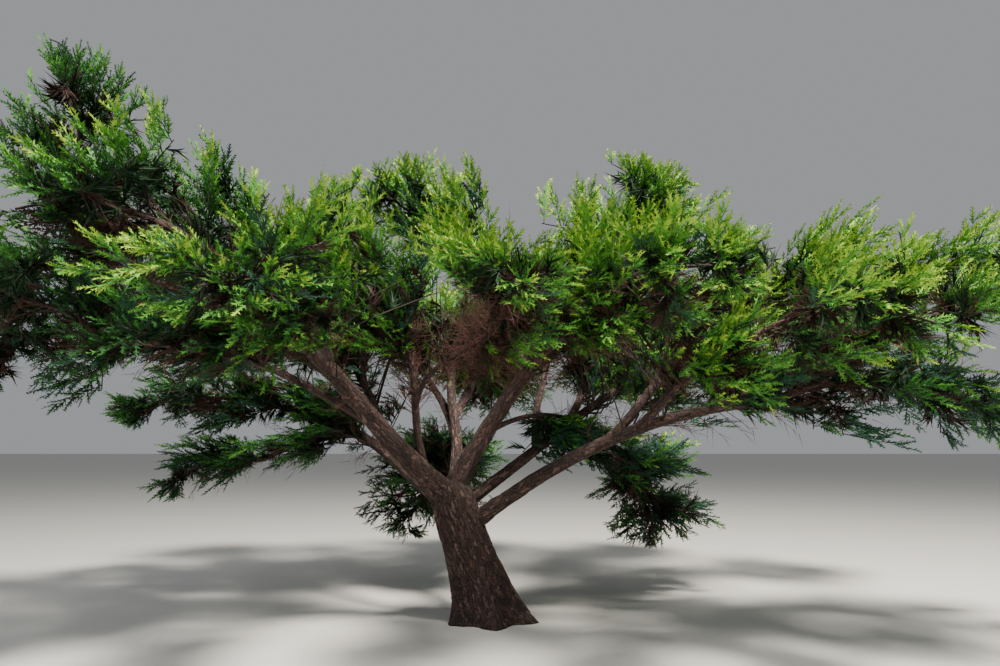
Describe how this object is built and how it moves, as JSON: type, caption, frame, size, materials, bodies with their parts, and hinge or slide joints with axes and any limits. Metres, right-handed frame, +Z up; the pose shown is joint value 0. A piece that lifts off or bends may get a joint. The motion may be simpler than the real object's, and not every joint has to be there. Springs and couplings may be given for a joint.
{
  "type": "spreading juniper tree",
  "caption": "Old wide-spreading juniper with a short leaning trunk, bare boughs fanning out under a low, flat, feathery crown with pointed plumes.",
  "frame": {"origin": "centre of the flat cut under the trunk, at ground level", "axes": "+Z up along the upright line, +X to the right and +Y away from the side the picture shows"},
  "size_m": [9.5123, 7.3086, 4.3012],
  "materials": {
    "bark": "rough stringy bark",
    "foliage": "matt scale leaves in sprays"
  },
  "bodies": {
    "root": {"bough_back": "bark", "bough_back_crest": "bark", "bough_back_inner": "bark", "bough_back_left": "bark", "bough_back_left_under": "bark", "bough_back_left_up": "bark", "bough_back_low": "bark", "bough_back_right": "bark", "bough_back_rise": "bark", "bough_back_stem": "bark", "bough_centre": "bark", "bough_centre_arched": "bark", "bough_centre_front": "bark", "bough_centre_plume": "bark", "bough_left": "bark", "bough_left_apex": "bark", "bough_left_far": "bark", "bough_left_fore": "bark", "bough_left_front": "bark", "bough_left_shoulder": "bark", "bough_left_under": "bark", "bough_right": "bark", "bough_right_arch": "bark", "bough_right_back": "bark", "bough_right_front": "bark", "bough_right_outer": "bark", "bough_right_upper": "bark", "bough_stem": "bark", "bough_stem_side": "bark", "mass_back": "foliage", "mass_back_crest": "foliage", "mass_back_inner": "foliage", "mass_back_left": "foliage", "mass_back_left_under": "foliage", "mass_back_left_up": "foliage", "mass_back_low": "foliage", "mass_back_right": "foliage", "mass_back_rise": "foliage", "mass_back_top": "foliage", "mass_centre_front": "foliage", "mass_centre_plume": "foliage", "mass_left": "foliage", "mass_left_apex": "foliage", "mass_left_far": "foliage", "mass_left_fore": "foliage", "mass_left_front": "foliage", "mass_left_shoulder": "foliage", "mass_left_under": "foliage", "mass_right_apex": "foliage", "mass_right_arch": "foliage", "mass_right_back": "foliage", "mass_right_front": "foliage", "mass_right_low": "foliage", "mass_right_outer": "foliage", "mass_right_skirt": "foliage", "mass_right_upper": "foliage", "mass_stem_front": "foliage", "mass_stem_top": "foliage", "trunk": "bark"}
  },
  "joints": []
}
